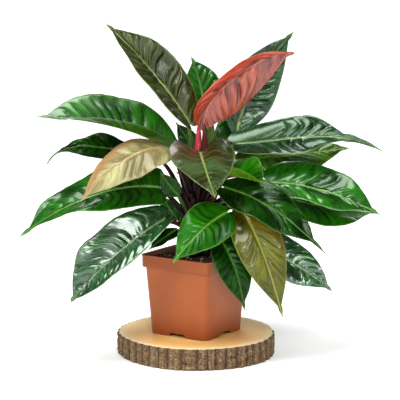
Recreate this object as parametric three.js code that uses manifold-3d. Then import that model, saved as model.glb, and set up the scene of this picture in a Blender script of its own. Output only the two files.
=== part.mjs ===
// A large-leaved philodendron in a square plastic nursery pot, standing on a slice of log.
// Millimetres, +Z up. The origin is the centre of the log slice's underside, and X and Y are
// square to the pot's sides. The plant is laid out in a frame of its own, whose -Y side is its
// show side: the whole plant is turned about Z in the pot by PLANT_TURN.
import * as THREE from 'three';
import { mergeVertices } from 'three/addons/utils/BufferGeometryUtils.js';
import Module from 'manifold-3d';

const wasm = await Module();
wasm.setup();

// ---- Driving dimensions -------------------------------------------------------------------
const GAP = 0.3; // left between pieces that only rest on or in each other
const PLANT_TURN = THREE.MathUtils.degToRad(34);

const SLICE = { radius: 126, height: 34, barkDepth: 3.2, ridges: 36, sides: 108 };

const POT = {
  height: 128,
  baseHalf: 54, // half of the side at the foot
  neckHalf: 60, // half of the side just under the rim band
  rimBottomHalf: 64,
  rimTopHalf: 65,
  rimHeight: 20,
  corner: 9.5, // corner radius at the neck
  wall: 1.6,
  channelWidth: 30, // raised drainage channels, one each way under the floor
  channelHeight: 5,
  drainRadius: 4,
};
const SOIL = { drop: 9, mound: 5, cells: 12 }; // below the rim, and how far the middle stands up
const STEM = { baseRadius: 16, topRadius: 10, buried: 45, height: 100 };
const PETIOLE = { rootRadius: 6, endRadius: 2.3, sides: 6, steps: 6 };
const SHEATH = {
  path: [[-5.5, 0.5, 253.5], [-1, 5, 284], [3, 12, 334], [3.5, 11, 368]],
  radii: [2.6, 3.2, 4.2, 5.2, 6.6, 7, 4.4, 1.4],
  sides: 8,
};
const BLADE = { thickness: 0.9, ribThickness: 2.2, rows: 12, smallHalf: 20, smallRows: 8, pleat: 0.8 };
// Columns across a blade, from edge to edge, as shares of its half width.
const BLADE_COLUMNS = [-1, -0.55, 0, 0.55, 1];

const COLOURS = {
  dark: 0x1d4a22,
  mid: 0x2f6b2b,
  bright: 0x3f9a1c,
  bronze: 0x5d6138,
  olive: 0x8a7a2c,
  yellow: 0xc9b26e,
  red: 0xcf5a42,
  sheath: 0xa81f34,
  petiole: 0x5a1f24,
  pot: 0xb5633c,
  soil: 0x33261f,
  log: 0xb98a57,
};

const POT_FLOOR = SLICE.height; // the pot's feet stand on the slice
const SOIL_TOP = POT_FLOOR + POT.height - SOIL.drop;
const STEM_TOP = SOIL_TOP + STEM.height;

// ---- Solids -------------------------------------------------------------------------------
// A closed three.js geometry as a manifold-3d solid, with only its positions kept.
function solidOf(geometry) {
  const bare = geometry.clone();
  bare.deleteAttribute('normal');
  bare.deleteAttribute('uv');
  const merged = mergeVertices(bare, 1e-4);
  return new wasm.Manifold(
    new wasm.Mesh({
      numProp: 3,
      vertProperties: merged.attributes.position.array,
      triVerts: new Uint32Array(merged.index.array),
    }),
  );
}

function geometryOf(solid) {
  const mesh = solid.getMesh();
  return new THREE.BufferGeometry()
    .setAttribute('position', new THREE.BufferAttribute(new Float32Array(mesh.vertProperties), 3))
    .setIndex(new THREE.BufferAttribute(new Uint32Array(mesh.triVerts), 1));
}

function meshOf(name, geometry, colour, roughness = 0.5) {
  const material = new THREE.MeshStandardMaterial({ color: colour, roughness, metalness: 0 });
  const mesh = new THREE.Mesh(geometry, material);
  mesh.name = name;
  return mesh;
}

// A closed skin over rings of points, one ring for each level, capped at both ends.
function skin(rings) {
  const sides = rings[0].length;
  const points = rings.flat();
  const faces = [];
  for (let level = 0; level < rings.length - 1; level++) {
    for (let i = 0; i < sides; i++) {
      const next = (i + 1) % sides;
      const [a, b] = [level * sides + i, level * sides + next];
      const [c, d] = [a + sides, b + sides];
      faces.push([a, b, d], [a, d, c]);
    }
  }
  const centres = [rings[0], rings.at(-1)].map((ring) =>
    ring.reduce((sum, p) => sum.add(p), new THREE.Vector3()).divideScalar(sides),
  );
  const [low, high] = [points.push(centres[0]) - 1, points.push(centres[1]) - 1];
  const top = (rings.length - 1) * sides;
  for (let i = 0; i < sides; i++) {
    const next = (i + 1) % sides;
    faces.push([low, next, i], [high, top + i, top + next]);
  }
  return new THREE.BufferGeometry()
    .setFromPoints(points)
    .setIndex(faces.flat());
}

// A closed sheet between two grids of points, given row by row: the same triangles above and
// below, joined round the edge.
function sheet(upper, lower, columns) {
  const n = upper.length;
  const rows = n / columns - 1;
  const faces = [];
  for (let row = 0; row < rows; row++) {
    for (let column = 0; column < columns - 1; column++) {
      const a = row * columns + column;
      const [b, c, d] = [a + 1, a + columns, a + columns + 1];
      // The diagonals mirror about the middle column, so both halves bend alike.
      const left = column < (columns - 1) / 2;
      const pair = left ? [[a, b, c], [b, d, c]] : [[a, b, d], [a, d, c]];
      for (const [p, q, r] of pair) faces.push([p, q, r], [p + n, r + n, q + n]);
    }
  }
  const edge = [];
  for (let c = 0; c < columns - 1; c++) edge.push(c);
  for (let r = 0; r < rows; r++) edge.push(r * columns + columns - 1);
  for (let c = columns - 1; c > 0; c--) edge.push(rows * columns + c);
  for (let r = rows; r > 0; r--) edge.push(r * columns);
  edge.forEach((a, i) => {
    const b = edge[(i + 1) % edge.length];
    faces.push([a, b + n, b], [a, a + n, b + n]);
  });
  return new THREE.BufferGeometry().setFromPoints([...upper, ...lower]).setIndex(faces.flat());
}

// ---- Log slice: a disc of wood in its bark, grown as one piece --------------------------
// Bark ridges run up the side: the radius follows |sin| lobes whose depth drifts round the log.
function sliceRing(z, share) {
  const ring = [];
  for (let i = 0; i < SLICE.sides; i++) {
    const a = (2 * Math.PI * i) / SLICE.sides;
    const outline = 1 + 0.012 * Math.cos(2 * a + 0.6) + 0.006 * Math.cos(5 * a);
    const lobe = Math.abs(Math.sin((SLICE.ridges / 2) * a + 0.9 * Math.sin(3 * a)));
    const depth = SLICE.barkDepth * (0.7 + 0.3 * Math.sin(7 * a + z / 9));
    const radius = SLICE.radius * outline - depth * (1 - lobe);
    ring.push(new THREE.Vector3(radius * share * Math.cos(a), radius * share * Math.sin(a), z));
  }
  return ring;
}

function makeSlice() {
  const rings = [
    sliceRing(0, 0.985),
    sliceRing(2.5, 1),
    sliceRing(SLICE.height - 2, 1),
    sliceRing(SLICE.height, 0.985),
  ];
  return meshOf('log_slice', skin(rings), COLOURS.log, 0.85);
}

// ---- Pot: a thin-walled square tub with a rim band and channelled feet -------------------
// A square with rounded corners, four points to each corner.
function squareRing(half, z, corner = POT.corner) {
  const ring = [];
  for (let quarter = 0; quarter < 4; quarter++) {
    for (let step = 0; step < 4; step++) {
      const a = (Math.PI / 2) * (quarter + step / 3);
      const [signX, signY] = [quarter === 0 || quarter === 3 ? 1 : -1, quarter < 2 ? 1 : -1];
      ring.push(
        new THREE.Vector3(
          signX * (half - corner) + corner * Math.cos(a),
          signY * (half - corner) + corner * Math.sin(a),
          z,
        ),
      );
    }
  }
  return ring;
}

const NECK_Z = POT.height - POT.rimHeight;
// Half of the wall's outer side at a height above the pot's feet.
const wallHalf = (z) => POT.baseHalf + ((POT.neckHalf - POT.baseHalf) * z) / NECK_Z;

// The two raised channels under the pot, as one cross of bars, grown by a margin.
function channelCross(margin) {
  const width = POT.channelWidth + 2 * margin;
  const height = POT.channelHeight + margin;
  const bar = new THREE.BoxGeometry(4 * POT.baseHalf, width, 2 * height);
  const turned = bar.clone().rotateZ(Math.PI / 2);
  return solidOf(bar).add(solidOf(turned));
}

// The space inside the pot's walls, shrunk by a margin, up to a given height.
function potInside(margin, topZ) {
  const inset = POT.wall + margin;
  const rings = [squareRing(wallHalf(0) - inset, inset, POT.corner - POT.wall)];
  if (topZ > NECK_Z) rings.push(squareRing(wallHalf(NECK_Z) - inset, NECK_Z, POT.corner - POT.wall));
  const rimShare = Math.max(0, (topZ - NECK_Z) / POT.rimHeight);
  const topHalf =
    topZ > NECK_Z
      ? POT.neckHalf + (POT.rimTopHalf - POT.neckHalf) * rimShare - inset
      : wallHalf(topZ) - inset;
  rings.push(squareRing(topHalf, topZ, POT.corner - POT.wall));
  return solidOf(skin(rings)).subtract(channelCross(inset));
}

function makePot() {
  const lip = 1.2;
  const outside = solidOf(
    skin([
      squareRing(POT.baseHalf - 1.2, 0),
      squareRing(wallHalf(1.5), 1.5),
      squareRing(POT.neckHalf, NECK_Z - 1),
      squareRing(POT.rimBottomHalf, NECK_Z),
      squareRing(POT.rimTopHalf - lip, POT.height - 3),
      squareRing(POT.rimTopHalf, POT.height - 1.5),
      squareRing(POT.rimTopHalf, POT.height),
    ]),
  );
  let pot = outside.subtract(channelCross(0)).subtract(potInside(0, POT.height + 2));
  const drain = solidOf(new THREE.CylinderGeometry(POT.drainRadius, POT.drainRadius, 20, 10)
    .rotateX(Math.PI / 2));
  const reach = POT.baseHalf * 0.55;
  for (const [x, y] of [[0, 0], [reach, 0], [-reach, 0], [0, reach], [0, -reach]]) {
    pot = pot.subtract(drain.translate(x, y, POT.channelHeight));
  }
  const mesh = meshOf('pot', geometryOf(pot), COLOURS.pot, 0.45);
  mesh.position.z = POT_FLOOR;
  return mesh;
}

// ---- Soil: it fills the pot and the feet, with a gently lumpy top ------------------------
function soilHeight(x, y) {
  const r = Math.hypot(x, y) / POT.neckHalf;
  const lumps = Math.sin(x / 7.1 + 1) * Math.cos(y / 6.3) + 0.6 * Math.sin((x + y) / 4.7);
  return SOIL.mound * Math.max(0, 1 - r) + 1.1 * lumps;
}

function makeSoil(stemHole) {
  const top = POT.height - SOIL.drop;
  const above = 9; // clear of the lumps, so the relief cuts the whole block
  const block = potInside(GAP, top + above);
  const [relief, lid] = [[], []];
  for (let row = 0; row <= SOIL.cells; row++) {
    for (let column = 0; column <= SOIL.cells; column++) {
      const [x, y] = [column, row].map((step) => POT.rimTopHalf * ((2 * step) / SOIL.cells - 1));
      relief.push(new THREE.Vector3(x, y, top + soilHeight(x, y)));
      lid.push(new THREE.Vector3(x, y, top + 2 * above));
    }
  }
  const cover = solidOf(sheet(lid, relief, SOIL.cells + 1));
  const soil = block.subtract(cover).translate(0, 0, POT_FLOOR).subtract(stemHole);
  return meshOf('potting_soil', geometryOf(soil), COLOURS.soil, 1);
}

// ---- Leaf blades --------------------------------------------------------------------------
// Each leaf: the points its midrib passes through (blade base first, tip last), the half width,
// the way its upper face looks, fold (degrees that each half rises from the midrib), curl
// (degrees by which that slope falls off towards the edge), wave (height of the edge's waves),
// and root, the share of the stem's height at which its petiole leaves. Some also have a face
// or fold that changes towards the tip (tipFace, tipFold), and their own outline: where it is
// widest, its base's width, the share of the length and the width of its drip tip, and the
// reach of its base lobes (lobe) and how near the edge they peak (lobePeak).
const LEAVES = [
  { name: 'leaf_01_bronze_upper_left', colour: 'bronze', root: 0.82, half: 42,
    rib: [[-13, 20, 369], [-69, 10, 448], [-142, 0, 525]],
    face: [0.48, -0.79, 0.38], fold: 37, curl: 14, wave: 2, widest: 0.42 },
  { name: 'leaf_02_green_left', colour: 'mid', root: 0.62, half: 54,
    rib: [[-45, 25, 329], [-142, 5, 366], [-250, -15, 380]],
    face: [0, -0.36, 0.93], fold: 58, curl: 14, wave: 3, widest: 0.42, tipFold: 30 },
  { name: 'leaf_03_dark_left', colour: 'dark', root: 0.5, half: 26,
    rib: [[-74, 35, 318], [-133, 15, 325], [-192, 0, 331], [-234, -10, 305]],
    face: [-0.1, -0.6, 0.8], fold: 12, curl: 22, wave: 5, drip: 0.22, dripWidth: 0.2 },
  { name: 'leaf_04_yellow_left', colour: 'yellow', root: 0.72, half: 40,
    rib: [[-41, -18, 330], [-87, -50, 331], [-135, -75, 302], [-177, -88, 259]],
    face: [0, -0.42, 0.9], fold: -15, curl: -6, wave: 2, widest: 0.28, tipFace: [-0.35, -0.9, 0.3] },
  { name: 'leaf_05_green_lower_left', colour: 'mid', root: 0.42, half: 46,
    rib: [[-62, -10, 268], [-163, -35, 258], [-276, -50, 196]],
    face: [-0.1, -0.8, 0.6], fold: 14, curl: 16, wave: -6, base: 0.7, widest: 0.4, tipFold: 30, tipFace: [-0.1, -0.3, 0.94] },
  { name: 'leaf_06_dark_lower_left', colour: 'dark', root: 0.22, half: 48,
    rib: [[-52, -35, 220], [-124, -72, 172], [-194, -90, 101]],
    face: [-0.39, -0.78, 0.59], fold: 38, curl: 14, wave: 3, widest: 0.52, base: 0.5, drip: 0.02, tipFold: 30 },
  { name: 'leaf_07_bronze_front', colour: 'bronze', root: 0.95, half: 52,
    rib: [[6, -25, 326], [15, -95, 307], [28, -165, 278]],
    face: [0, -0.5, 0.86], fold: 20, curl: 14, wave: 2, base: 0.85, widest: 0.2, lobe: 0.75, lobePeak: 1.9 },
  { name: 'leaf_08_green_top', colour: 'mid', root: 0.86, half: 33,
    rib: [[14, 64, 362], [8, 76, 412], [-8, 72, 466]],
    face: [0.3, -0.92, 0.2], fold: 20, curl: 14, wave: 2, widest: 0.5 },
  { name: 'leaf_09_red_new', colour: 'red', root: 1, half: 46,
    rib: [[12, 0, 372], [31, -5, 413], [84, -10, 458], [153, -12, 480]],
    face: [0.41, -0.78, -0.47], fold: 33, curl: 14, wave: 2, widest: 0.42, drip: 0.02 },
  { name: 'leaf_10_dark_top_right', colour: 'dark', root: 0.76, half: 40,
    rib: [[66, 45, 355], [98, 52, 434], [154, 45, 508]],
    face: [0.3, -0.92, 0.1], fold: 18, curl: 16, wave: 3 },
  { name: 'leaf_11_dark_right', colour: 'dark', root: 0.7, half: 40,
    rib: [[69, 20, 333], [145, 10, 342], [220, 0, 346], [291, -10, 326]],
    face: [0, -0.54, 0.84], fold: 20, curl: 16, wave: 4, widest: 0.32, drip: 0.24, dripWidth: 0.2, base: 0.55, lobe: 0.6, tipFace: [0, -0.75, 0.6] },
  { name: 'leaf_12_olive_right_back', colour: 'mid', root: 0.5, half: 38,
    rib: [[71, 20, 307], [158, 48, 312], [247, 65, 320]],
    face: [0, -0.75, 0.65], fold: 8, curl: 20, wave: 5 },
  { name: 'leaf_13_green_right', colour: 'mid', root: 0.55, half: 48,
    rib: [[122, -15, 276], [201, -35, 266], [286, -45, 230]],
    face: [0, -0.54, 0.84], fold: 22, curl: 16, wave: 3, widest: 0.38, base: 0.7, lobe: 0.5 },
  { name: 'leaf_14_green_right_low', colour: 'mid', root: 0.35, half: 37,
    rib: [[111, 20, 256], [199, 10, 235], [287, -5, 226]],
    face: [0, -0.62, 0.78], fold: 6, curl: 18, wave: 4, widest: 0.58 },
  { name: 'leaf_15_dark_right_front', colour: 'dark', root: 0.45, half: 38,
    rib: [[46, -60, 275], [121, -98, 246], [197, -110, 182]],
    face: [0.25, -0.75, 0.6], fold: 15, curl: 16, wave: 3, drip: 0.1, base: 0.42 },
  { name: 'leaf_16_bright_curled', colour: 'bright', root: 0.9, half: 37,
    rib: [[50, -32, 291], [78, -75, 293], [104, -114, 291]],
    face: [0.1, -0.4, 0.9], fold: 52, curl: 14, wave: 2 },
  { name: 'leaf_17_olive_front_right', colour: 'olive', root: 0.3, half: 37,
    rib: [[69, -58, 243], [102, -84, 179], [134, -88, 77]],
    face: [0.1, -0.98, 0.2], fold: 12, curl: 16, wave: 2, widest: 0.38 },
  { name: 'leaf_18_green_low_right', colour: 'dark', root: 0.15, half: 34,
    rib: [[84, -30, 187], [152, -58, 155], [212, -65, 113]],
    face: [0.2, -0.85, 0.5], fold: 12, curl: 16, wave: 3 },
  { name: 'leaf_19_bright_front', colour: 'bright', root: 0.25, half: 38,
    rib: [[46, -84, 240], [6, -119, 217], [-35, -140, 173]],
    face: [-0.2, -0.9, 0.4], fold: 11, curl: 16, wave: 2, widest: 0.26 },
  { name: 'leaf_20_green_over_rim', colour: 'mid', root: 0.1, half: 30,
    rib: [[37, -60, 196], [60, -80, 150], [75, -82, 87]],
    face: [0.35, -0.9, 0.25], fold: 10, curl: 16, wave: 2 },
  { name: 'leaf_21_small_low_left', colour: 'dark', root: 0.1, half: 16,
    rib: [[-32, -24, 202], [-52, -38, 191], [-74, -46, 175]],
    face: [-0.3, -0.6, 0.7], fold: 15, curl: 16, wave: 1 },
  { name: 'leaf_22_small_left', colour: 'mid', root: 0.45, half: 15,
    rib: [[-30, -26, 260], [-43, -30, 276], [-56, -32, 296]],
    face: [-0.3, -0.9, 0.3], fold: 12, curl: 10, wave: 1 },
  { name: 'leaf_23_small_left_low', colour: 'mid', root: 0.3, half: 17,
    rib: [[-32, -10, 219], [-43, -14, 236], [-55, -16, 255]],
    face: [-0.3, -0.9, 0.3], fold: 12, curl: 10, wave: 1 },
  { name: 'leaf_24_small_crown_left', colour: 'dark', root: 0.9, half: 16,
    rib: [[0, 45, 316], [-15, 55, 337], [-33, 60, 362]],
    face: [0.1, -0.9, 0.4], fold: 15, curl: 10, wave: 1 },
  { name: 'leaf_25_dark_crown_right', colour: 'dark', root: 0.88, half: 28,
    rib: [[43, 55, 329], [65, 67, 345], [91, 78, 360]],
    face: [0.1, -0.8, 0.6], fold: 15, curl: 10, wave: 2 },
  { name: 'leaf_26_back_left', colour: 'mid', root: 0.66, half: 36,
    rib: [[-23, 42, 310], [-72, 110, 315], [-121, 175, 294]],
    face: [-0.1, 0.3, 0.95], fold: 15, curl: 16, wave: 3 },
  { name: 'leaf_27_back_middle', colour: 'dark', root: 0.52, half: 40,
    rib: [[3, 48, 274], [9, 130, 267], [16, 205, 228]],
    face: [0, 0.3, 0.95], fold: 15, curl: 16, wave: 3 },
  { name: 'leaf_28_back_right', colour: 'mid', root: 0.58, half: 36,
    rib: [[41, 46, 290], [88, 110, 297], [136, 170, 281]],
    face: [0.1, 0.3, 0.95], fold: 15, curl: 16, wave: 3 },
  { name: 'leaf_29_back_low_left', colour: 'dark', root: 0.34, half: 38,
    rib: [[-23, 50, 244], [-84, 110, 244], [-147, 155, 220]],
    face: [-0.2, 0.3, 0.9], fold: 15, curl: 16, wave: 3 },
  { name: 'leaf_30_back_low_right', colour: 'mid', root: 0.3, half: 38,
    rib: [[41, 55, 229], [98, 110, 219], [156, 150, 184]],
    face: [0.2, 0.3, 0.9], fold: 15, curl: 16, wave: 3 },
  { name: 'leaf_31_back_low_middle', colour: 'mid', root: 0.2, half: 36,
    rib: [[3, 65, 212], [-1, 130, 201], [-8, 190, 145]],
    face: [0, 0.5, 0.85], fold: 14, curl: 16, wave: 3 },
  { name: 'leaf_32_back_upright', colour: 'mid', root: 0.92, half: 26,
    rib: [[30, 76, 331], [62, 128, 370], [92, 168, 399]],
    face: [0.2, 0.8, 0.6], fold: 18, curl: 16, wave: 2 },
];

// Half width of a blade at a share t of its length, as a share of its greatest: rounded at the
// base, and drawn out at the end into a narrow drip tip.
const BASE_WIDTH = 0.3;
const DRIP_WIDTH = 0.09;
function widthShare(leaf, t) {
  const { base = BASE_WIDTH, widest = 0.34, drip = 0.05, dripWidth = DRIP_WIDTH } = leaf;
  if (t < widest) return 1 - (1 - base) * (1 - t / widest) ** 2.5;
  const u = Math.min(1, (t - widest) / (1 - drip - widest));
  return Math.max((1 - u ** 2.3) ** 1.1, dripWidth * Math.min(1, (1 - t) / drip));
}

// How far the base's two lobes reach back past the petiole, as a share of the half width.
function lobeShare(leaf, t, across) {
  const { lobe = 0.36, lobePeak = 0.75 } = leaf;
  const fade = Math.max(0, 1 - t / 0.3) ** 2;
  return lobe * fade * (0.8 * Math.sin(Math.PI * across ** lobePeak) + 0.45 * across ** 2);
}

// The polynomial through equally spaced points, and its slope, at t.
function throughPoints(points, t) {
  const last = points.length - 1;
  const [place, slope] = [new THREE.Vector3(), new THREE.Vector3()];
  points.forEach((p, i) => {
    let [weight, rate] = [1, 0];
    for (let k = 0; k <= last; k++) {
      if (k === i) continue;
      const span = (i - k) / last;
      rate = (rate * (t - k / last) + weight) / span;
      weight *= (t - k / last) / span;
    }
    const at = new THREE.Vector3(...p);
    place.addScaledVector(at, weight);
    slope.addScaledVector(at, rate);
  });
  return { place, slope };
}

// Place, forward, up and side directions on a leaf's midrib at t.
function ribFrame(leaf, t) {
  const { place, slope } = throughPoints(leaf.rib, t);
  const forward = slope.normalize();
  const up = new THREE.Vector3(...leaf.face);
  if (leaf.tipFace) up.lerp(new THREE.Vector3(...leaf.tipFace), t);
  up.addScaledVector(forward, -up.dot(forward)).normalize();
  const side = new THREE.Vector3().crossVectors(forward, up);
  return { place, forward, up, side };
}

const ROW_CROWDING = 1.25; // the rows are closer together near the base
const VEIN_SWEEP = 0.1; // rows follow the side veins, which run forward to the edge
const MIN_HALF = 0.8; // the tip is a blunt end this far to each side

// A point of the blade's middle surface: row t runs from base to tip, s from edge to edge.
function bladePoint(leaf, t, s, pleat) {
  const across = Math.abs(s);
  const rowT = t + VEIN_SWEEP * across * Math.sin(Math.PI * t);
  const frame = ribFrame(leaf, rowT);
  const half = Math.max(MIN_HALF, leaf.half * widthShare(leaf, rowT));
  const fold = leaf.fold + ((leaf.tipFold ?? leaf.fold) - leaf.fold) * rowT;
  const slope = THREE.MathUtils.degToRad(fold - (leaf.curl * across) / 2);
  const ends = Math.sin(Math.PI * Math.min(1, rowT));
  const wave = leaf.wave * across ** 2 * ends * Math.sin(9 * rowT + 2.2 * s + leaf.rib[0][0]);
  const rise = half * across * Math.sin(slope) + wave + pleat * ends * Math.sin(Math.PI * across * 0.8);
  return {
    point: frame.place
      .addScaledVector(frame.side, half * s * Math.cos(slope))
      .addScaledVector(frame.forward, -leaf.half * lobeShare(leaf, rowT, across))
      .addScaledVector(frame.up, rise),
    up: frame.up,
  };
}

// A blade, pleated along its side veins, with its midrib standing out below.
function makeBlade(leaf) {
  const rows = leaf.half < BLADE.smallHalf ? BLADE.smallRows : BLADE.rows;
  const columns = BLADE_COLUMNS.length;
  const [upper, lower] = [[], []];
  for (let row = 0; row <= rows; row++) {
    const t = (row / rows) ** ROW_CROWDING;
    const pleat = row % 2 ? BLADE.pleat : -BLADE.pleat;
    for (const s of BLADE_COLUMNS) {
      const { point, up } = bladePoint(leaf, t, s, pleat);
      const below = s === 0 ? BLADE.ribThickness * (1 - 0.6 * t) : BLADE.thickness / 2;
      upper.push(point.clone().addScaledVector(up, BLADE.thickness / 2));
      lower.push(point.clone().addScaledVector(up, -below));
    }
  }
  return sheet(upper, lower, columns);
}

// ---- Stem and petioles --------------------------------------------------------------------
// A petiole leaves the stem upwards and outwards, and ends under the midrib, GAP below it.
function petioleCurve(leaf) {
  const { place, forward, up } = ribFrame(leaf, 0);
  const drop = BLADE.ribThickness + GAP + PETIOLE.endRadius;
  const end = place.clone().addScaledVector(up, -drop).addScaledVector(forward, 5);
  const root = new THREE.Vector3(0, 0, SOIL_TOP + STEM.height * (0.1 + 0.85 * leaf.root));
  const reach = end.clone().sub(root);
  const outward = new THREE.Vector3(reach.x, reach.y, 0).normalize();
  root.addScaledVector(outward, 3);
  const length = reach.length();
  const start = outward.clone().multiplyScalar(0.55).setZ(1).normalize();
  const arrive = reach.clone().normalize().addScaledVector(forward, 2).normalize();
  return new THREE.CubicBezierCurve3(
    root,
    root.clone().addScaledVector(start, length * 0.4),
    end.clone().addScaledVector(arrive, -length * 0.3),
    end,
  );
}

// A ring of points round a curve at t.
function tubeRing(curve, t, radius, sides) {
  const centre = curve.getPoint(t);
  const along = curve.getTangent(t);
  const flat = new THREE.Vector3(-along.y, along.x, 0.001).normalize();
  const other = new THREE.Vector3().crossVectors(along, flat);
  return Array.from({ length: sides }, (_, i) => {
    const a = (2 * Math.PI * i) / sides;
    const out = flat.clone().multiplyScalar(radius * Math.cos(a));
    return centre.clone().add(out).addScaledVector(other, radius * Math.sin(a));
  });
}

function makePetiole(leaf) {
  const curve = petioleCurve(leaf);
  const rings = [];
  for (let step = 0; step <= PETIOLE.steps; step++) {
    const t = step / PETIOLE.steps;
    const radius = PETIOLE.rootRadius + (PETIOLE.endRadius - PETIOLE.rootRadius) * t ** 0.7;
    rings.push(tubeRing(curve, t, radius, PETIOLE.sides));
  }
  return solidOf(skin(rings));
}

function makeStem() {
  const profile = [
    [0, SOIL_TOP - STEM.buried],
    [STEM.baseRadius * 0.8, SOIL_TOP - STEM.buried],
    [STEM.baseRadius, SOIL_TOP],
    [STEM.baseRadius, SOIL_TOP + STEM.height * 0.3],
    [STEM.topRadius, STEM_TOP],
    [0, STEM_TOP],
  ].map(([r, z]) => new THREE.Vector2(r, z));
  return solidOf(new THREE.LatheGeometry(profile, 12).rotateX(Math.PI / 2));
}

// The crimson sheath that the newest leaf came out of: a slim spindle on the stem's top.
function makeBudSheath() {
  const curve = new THREE.CatmullRomCurve3(SHEATH.path.map((p) => new THREE.Vector3(...p)));
  const rings = SHEATH.radii.map((radius, i, radii) =>
    tubeRing(curve, i / (radii.length - 1), radius, SHEATH.sides),
  );
  return meshOf('bud_sheath', skin(rings), COLOURS.sheath, 0.4);
}

// ---- Assembly -----------------------------------------------------------------------------
const plant = new THREE.Group();
plant.rotation.z = PLANT_TURN;
const stem = makeStem();
const crown = LEAVES.reduce((solid, leaf) => solid.add(makePetiole(leaf)), stem);
plant.add(meshOf('stem_and_petioles', geometryOf(crown), COLOURS.petiole, 0.45));
plant.add(makeBudSheath());
for (const leaf of LEAVES) {
  plant.add(meshOf(leaf.name, makeBlade(leaf), COLOURS[leaf.colour], 0.3));
}

const hole = solidOf(
  new THREE.CylinderGeometry(STEM.baseRadius + 2 * GAP, STEM.baseRadius + 2 * GAP, 400, 16)
    .rotateX(Math.PI / 2)
    .translate(0, 0, 200 + SOIL_TOP - STEM.buried - GAP),
);

const part = new THREE.Group();
part.add(makeSlice(), makePot(), makeSoil(hole), plant);

export default part;
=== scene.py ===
# A large-leaved philodendron in a square nursery pot, standing on a slice of log.
# Every shape is worked out in millimetres, in the frame's own axes, and stored in metres.
# The plant is laid out as it stands to the show side, and turned about Z into the pot.
import math

import bmesh
import bpy
import numpy as np
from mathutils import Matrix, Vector


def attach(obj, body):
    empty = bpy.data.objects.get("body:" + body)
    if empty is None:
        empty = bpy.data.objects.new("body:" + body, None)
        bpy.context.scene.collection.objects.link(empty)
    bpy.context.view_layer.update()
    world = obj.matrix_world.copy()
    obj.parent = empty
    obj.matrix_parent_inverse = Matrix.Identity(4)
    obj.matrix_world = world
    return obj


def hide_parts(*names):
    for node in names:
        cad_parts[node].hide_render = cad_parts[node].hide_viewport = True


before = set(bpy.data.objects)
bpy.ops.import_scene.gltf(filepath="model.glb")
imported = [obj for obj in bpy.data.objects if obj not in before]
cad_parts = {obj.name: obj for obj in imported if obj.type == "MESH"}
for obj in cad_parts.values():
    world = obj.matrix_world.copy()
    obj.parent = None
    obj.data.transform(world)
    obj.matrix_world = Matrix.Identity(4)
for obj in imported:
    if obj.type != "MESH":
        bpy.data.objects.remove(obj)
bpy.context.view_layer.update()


# ---- Log slice ---------------------------------------------
# A slice sawn square across a hardwood trunk, 252 mm across and 34 mm thick, with its bark left
# on. The sawn face is sanded pale wood with faint rings; the bark stands in furrowed plates.
SLICE_RADIUS, SLICE_HEIGHT, BARK_THICKNESS = 126.0, 34.0, 3.4
PLATES, LESSER_PLATES = 22, 57  # round the trunk
FURROW, LESSER_FURROW, GRIT, CRACK = 3.8, 1.4, 0.75, 3.2  # how deep each cuts into the bark
CREST, CHAMFER_HEIGHT, CHAMFER_DEPTH = 0.6, 1.8, 2.0
PITH = (0.014, -0.010)  # metres; the rings' middle is a little off the slice's middle
RING_RATE = 2400  # radians a metre, which is a ring each 2.6 mm


def linear(code):
    """An sRGB hex colour as linear red, green, blue and alpha."""
    srgb = np.array([int(code[i : i + 2], 16) for i in (1, 3, 5)]) / 255
    rgb = np.where(srgb <= 0.04045, srgb / 12.92, ((srgb + 0.055) / 1.055) ** 2.4)
    return (*map(float, rgb), 1.0)


def wire(node, inputs):
    """Sets a node's inputs to values, hex colours or sockets; a node stands for its first
    output."""
    for name, value in inputs.items():
        if isinstance(value, bpy.types.Node):
            value = value.outputs[0]
        if isinstance(value, bpy.types.NodeSocket):
            node.id_data.links.new(value, node.inputs[name])
        else:
            node.inputs[name].default_value = linear(value) if isinstance(value, str) else value


def add(tree, kind, inputs=(), ramp=(), **settings):
    """Adds a node of a kind: settings are its own, inputs are as wire takes them, and a ramp is
    pairs of a place and a hex colour."""
    node = tree.nodes.new("ShaderNode" + kind)
    for name, value in settings.items():
        setattr(node, name, value)
    wire(node, dict(inputs))
    if ramp:
        stops = node.color_ramp.elements
        while len(stops) < len(ramp):
            stops.new(1.0)
        for stop, (place, code) in zip(stops, ramp):
            stop.position, stop.color = place, linear(code)
    return node


def finish(name, roughness, ior, more=()):
    """A new material with one Principled shader, set to its roughness, its IOR and more inputs;
    returns the material, its tree, the shader and the socket of its Object coordinates."""
    material = bpy.data.materials.new(name)
    material.use_nodes = True
    tree = material.node_tree
    shader = next(n for n in tree.nodes if n.type == "BSDF_PRINCIPLED")
    wire(shader, {"Roughness": roughness, "IOR": ior} | dict(more))
    return material, tree, shader, add(tree, "TexCoord").outputs["Object"]


def grid_faces(rows, columns, wrap=False):
    """The quads of a grid of rows by columns of points, facing along row x column; wrap closes
    each row on itself."""
    r, c = np.meshgrid(np.arange(rows - 1), np.arange(columns if wrap else columns - 1), indexing="ij")
    a, b = r * columns + c, r * columns + (c + 1) % columns
    return np.stack([a, b, b + columns, a + columns], -1).reshape(-1, 4)


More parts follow.
